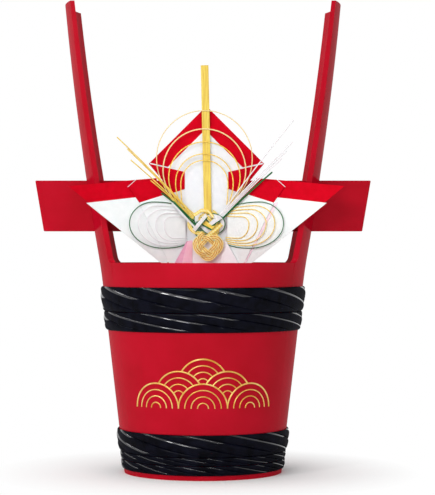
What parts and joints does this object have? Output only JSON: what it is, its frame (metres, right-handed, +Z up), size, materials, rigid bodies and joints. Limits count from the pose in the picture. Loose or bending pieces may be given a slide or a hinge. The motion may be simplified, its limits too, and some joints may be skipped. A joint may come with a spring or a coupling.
{
  "type": "horned sake cask",
  "caption": "Red-lacquered coopered sake cask with twisted black hoops, tall horn staves, a winged carrying crossbar, a bung, and a folded-paper ornament with paper cords.",
  "frame": {"origin": "on the floor, under the middle of the cask", "axes": "+Z up, +X to the right along the crossbar, front with the ornament towards -Y"},
  "size_m": [0.3108, 0.1906, 0.4315],
  "materials": {
    "red_lacquer": "gloss",
    "black_lacquer": "gloss",
    "bare_cedar": "matte",
    "bamboo": "satin",
    "red_paper": "matte",
    "white_paper": "matte",
    "pink_paper": "matte",
    "gold_paper": "satin",
    "gold_cord": "satin",
    "green_cord": "satin"
  },
  "bodies": {
    "cask": {"awaji_knot": "gold_cord", "back_stave_1": "red_lacquer", "back_stave_2": "red_lacquer", "back_stave_3": "red_lacquer", "back_stave_4": "red_lacquer", "back_stave_5": "red_lacquer", "back_stave_6": "red_lacquer", "bottom_head": "red_lacquer", "centre_panel": "white_paper", "crossbar": "red_lacquer", "diamond_paper": "red_paper", "flap_paper_left": "red_paper", "flap_paper_right": "red_paper", "foot_hoop_thin": "black_lacquer", "front_stave_1": "red_lacquer", "front_stave_2": "red_lacquer", "front_stave_3": "red_lacquer", "front_stave_4": "red_lacquer", "front_stave_5": "red_lacquer", "front_stave_6": "red_lacquer", "gold_arches": "gold_cord", "gold_knot": "gold_cord", "horn_stave_left": "red_lacquer", "horn_stave_right": "red_lacquer", "inner_wing_lining_left": "red_paper", "inner_wing_lining_right": "red_paper", "inner_wing_paper_left": "white_paper", "inner_wing_paper_right": "white_paper", "kite_paper": "white_paper", "left_loops": "green_cord", "left_tails": "green_cord", "lower_hoop_thin": "black_lacquer", "lower_hoop_wide": "black_lacquer", "noshi_strip": "gold_paper", "ornament_tie": "white_paper", "outer_wing_lining_left": "red_paper", "outer_wing_lining_right": "red_paper", "outer_wing_paper_left": "white_paper", "outer_wing_paper_right": "white_paper", "right_loops": "green_cord", "right_tails": "green_cord", "stave_dowels": "bamboo", "tail_paper_left": "pink_paper", "tail_paper_right": "pink_paper", "top_head": "red_lacquer", "upper_hoop_narrow": "black_lacquer", "upper_hoop_wide": "black_lacquer"},
    "bung": {"bung": "bare_cedar"}
  },
  "joints": [
    {"name": "bung_lift", "type": "slide", "parent": "cask", "child": "bung", "axis": [0, 0, 1], "range_m": [0, 0.06]}
  ]
}
